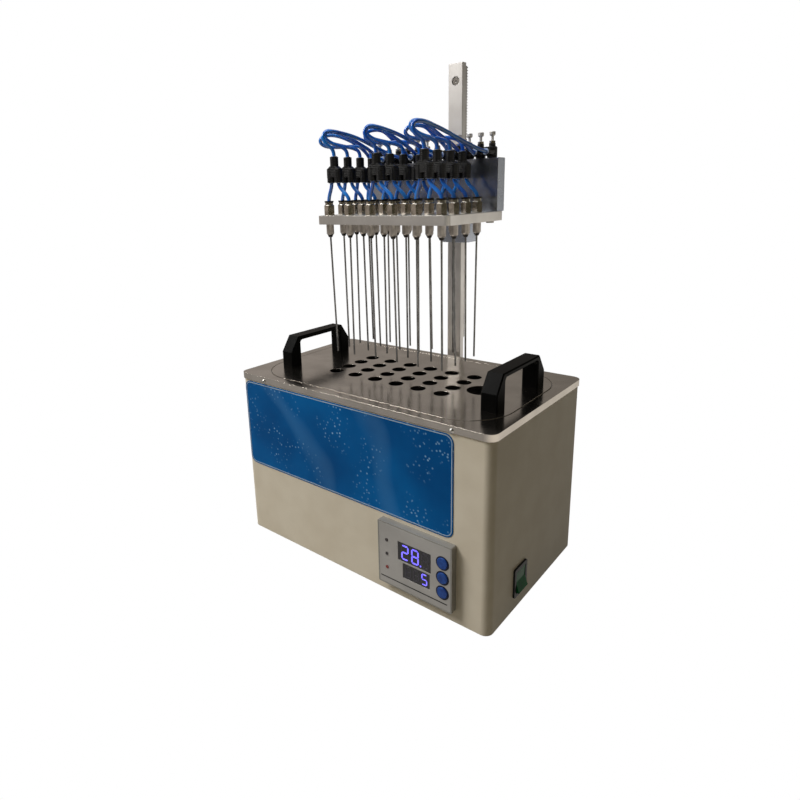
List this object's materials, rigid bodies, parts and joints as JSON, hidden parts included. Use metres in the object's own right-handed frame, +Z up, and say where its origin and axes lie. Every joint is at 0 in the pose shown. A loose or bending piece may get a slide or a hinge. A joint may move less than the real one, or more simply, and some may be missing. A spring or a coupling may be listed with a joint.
{
  "type": "nitrogen evaporator",
  "caption": "Water bath with a perforated lid, and above it a needle head on a rack-and-pinion column that blows gas into test tubes to dry them.",
  "frame": {"origin": "middle of the bottom of the whole object's box, at the level that the feet stand on", "axes": "+Z up along the column, +X to the right and +Y to the back, seen from the front panel"},
  "size_m": [0.344, 0.2594, 0.555],
  "materials": {
    "case_paint": "satin cream paint",
    "polished_steel": "bright polished steel sheet",
    "tank_steel": "plain stainless steel",
    "screw_steel": "plated steel",
    "nickel": "nickel-plated brass",
    "hub_steel": "satin steel",
    "needle_steel": "drawn steel tube",
    "rack_steel": "machined steel",
    "aluminium": "fine satin anodised",
    "rubber": "black rubber",
    "label_film": "printed film, blue with pale specks",
    "panel_film": "black printed film",
    "black_plastic": "fine grained black",
    "handle_black": "satin black",
    "button_black": "satin black",
    "dark_glass": "dark tinted window",
    "lamp_lens": "clear tinted lens",
    "switch_green": "translucent green",
    "fitting_black": "moulded black",
    "ring_grey": "moulded pale grey",
    "knob_white": "bright plated",
    "tube_blue": "clear blue polyurethane"
  },
  "bodies": {
    "bath": {"outer_case": "case_paint", "base_tray": "case_paint", "feet": "rubber", "top_plate": "polished_steel", "flange_screws": "screw_steel", "inner_tank": "tank_steel", "heater": "tank_steel", "temperature_probe": "tank_steel", "tank_glands": "nickel", "front_label": "label_film", "controller_housing": "black_plastic", "controller_face": "panel_film", "display_windows": "dark_glass", "indicator_lamps": "lamp_lens", "switch_housing": "black_plastic", "power_inlet": "black_plastic", "column_bracket": "aluminium", "column": "aluminium", "rack": "rack_steel", "column_screws": "screw_steel"},
    "lid": {"lid_plate": "polished_steel", "lid_handles": "handle_black", "handle_screws": "screw_steel", "shelf_rods": "tank_steel", "tube_shelf": "tank_steel"},
    "head": {"carriage_block": "aluminium", "head_screws": "screw_steel", "head_arm": "aluminium", "needle_plate": "aluminium", "manifold": "aluminium", "gas_inlet": "nickel", "valve_bodies": "fitting_black", "valve_nuts": "nickel", "needle_fittings": "nickel", "fitting_collars": "fitting_black", "needle_hubs": "hub_steel", "needles": "needle_steel", "y_connectors": "fitting_black", "release_rings": "ring_grey", "branch_tubes": "tube_blue", "gas_tubes": "tube_blue"},
    "pinion": {"pinion_gear": "rack_steel", "pinion_shaft": "rack_steel", "lift_knob": "black_plastic"},
    "rocker": {"switch_rocker": "switch_green"},
    "down_button": {"button_down": "button_black"},
    "up_button": {"button_up": "button_black"},
    "set_button": {"button_set": "button_black"},
    "valve_knob_01": {"valve_knob_01": "knob_white"},
    "valve_knob_02": {"valve_knob_02": "knob_white"},
    "valve_knob_03": {"valve_knob_03": "knob_white"},
    "valve_knob_04": {"valve_knob_04": "knob_white"},
    "valve_knob_05": {"valve_knob_05": "knob_white"},
    "valve_knob_06": {"valve_knob_06": "knob_white"},
    "valve_knob_07": {"valve_knob_07": "knob_white"},
    "valve_knob_08": {"valve_knob_08": "knob_white"},
    "valve_knob_09": {"valve_knob_09": "knob_white"},
    "valve_knob_10": {"valve_knob_10": "knob_white"},
    "valve_knob_11": {"valve_knob_11": "knob_white"},
    "valve_knob_12": {"valve_knob_12": "knob_white"}
  },
  "joints": [
    {"name": "lid_lift", "type": "slide", "parent": "bath", "child": "lid", "axis": [0, 0, 1], "range_m": [0, 0.115]},
    {"name": "head_lift", "type": "slide", "parent": "bath", "child": "head", "axis": [0, 0, 1], "range_m": [-0.11, 0.098]},
    {"name": "pinion_turn", "type": "hinge", "parent": "head", "child": "pinion", "pos_m": [-0.00197, 0.11087, 0.415], "axis": [1, 0, 0], "range_deg": [-705, 630]},
    {"name": "rocker_tip", "type": "hinge", "parent": "bath", "child": "rocker", "pos_m": [0.16573, -0.05883, 0.0365], "axis": [0, 1, 0], "range_deg": [0, 18]},
    {"name": "press_down", "type": "slide", "parent": "bath", "child": "down_button", "axis": [0, 1, 0], "range_m": [0, 0.0008], "stiffness_N_per_m": 400, "springref_m": -0.0005},
    {"name": "press_up", "type": "slide", "parent": "bath", "child": "up_button", "axis": [0, 1, 0], "range_m": [0, 0.0008], "stiffness_N_per_m": 400, "springref_m": -0.0005},
    {"name": "press_set", "type": "slide", "parent": "bath", "child": "set_button", "axis": [0, 1, 0], "range_m": [0, 0.0008], "stiffness_N_per_m": 400, "springref_m": -0.0005},
    {"name": "turn_valve_knob_01", "type": "hinge", "parent": "head", "child": "valve_knob_01", "pos_m": [-0.07677, 0.03992, 0.4575], "axis": [0, 0, 1], "range_deg": [-540, 540]},
    {"name": "turn_valve_knob_02", "type": "hinge", "parent": "head", "child": "valve_knob_02", "pos_m": [-0.06317, 0.03992, 0.4575], "axis": [0, 0, 1], "range_deg": [-540, 540]},
    {"name": "turn_valve_knob_03", "type": "hinge", "parent": "head", "child": "valve_knob_03", "pos_m": [-0.04957, 0.03992, 0.4575], "axis": [0, 0, 1], "range_deg": [-540, 540]},
    {"name": "turn_valve_knob_04", "type": "hinge", "parent": "head", "child": "valve_knob_04", "pos_m": [-0.03597, 0.03992, 0.4575], "axis": [0, 0, 1], "range_deg": [-540, 540]},
    {"name": "turn_valve_knob_05", "type": "hinge", "parent": "head", "child": "valve_knob_05", "pos_m": [-0.02237, 0.03992, 0.4575], "axis": [0, 0, 1], "range_deg": [-540, 540]},
    {"name": "turn_valve_knob_06", "type": "hinge", "parent": "head", "child": "valve_knob_06", "pos_m": [-0.00877, 0.03992, 0.4575], "axis": [0, 0, 1], "range_deg": [-540, 540]},
    {"name": "turn_valve_knob_07", "type": "hinge", "parent": "head", "child": "valve_knob_07", "pos_m": [0.00483, 0.03992, 0.4575], "axis": [0, 0, 1], "range_deg": [-540, 540]},
    {"name": "turn_valve_knob_08", "type": "hinge", "parent": "head", "child": "valve_knob_08", "pos_m": [0.01843, 0.03992, 0.4575], "axis": [0, 0, 1], "range_deg": [-540, 540]},
    {"name": "turn_valve_knob_09", "type": "hinge", "parent": "head", "child": "valve_knob_09", "pos_m": [0.03203, 0.03992, 0.4575], "axis": [0, 0, 1], "range_deg": [-540, 540]},
    {"name": "turn_valve_knob_10", "type": "hinge", "parent": "head", "child": "valve_knob_10", "pos_m": [0.04563, 0.03992, 0.4575], "axis": [0, 0, 1], "range_deg": [-540, 540]},
    {"name": "turn_valve_knob_11", "type": "hinge", "parent": "head", "child": "valve_knob_11", "pos_m": [0.05923, 0.03992, 0.4575], "axis": [0, 0, 1], "range_deg": [-540, 540]},
    {"name": "turn_valve_knob_12", "type": "hinge", "parent": "head", "child": "valve_knob_12", "pos_m": [0.07283, 0.03992, 0.4575], "axis": [0, 0, 1], "range_deg": [-540, 540]}
  ],
  "couplings": [
    {"joint": "pinion_turn", "follows": "head_lift", "rad_per_m": 111.11}
  ]
}
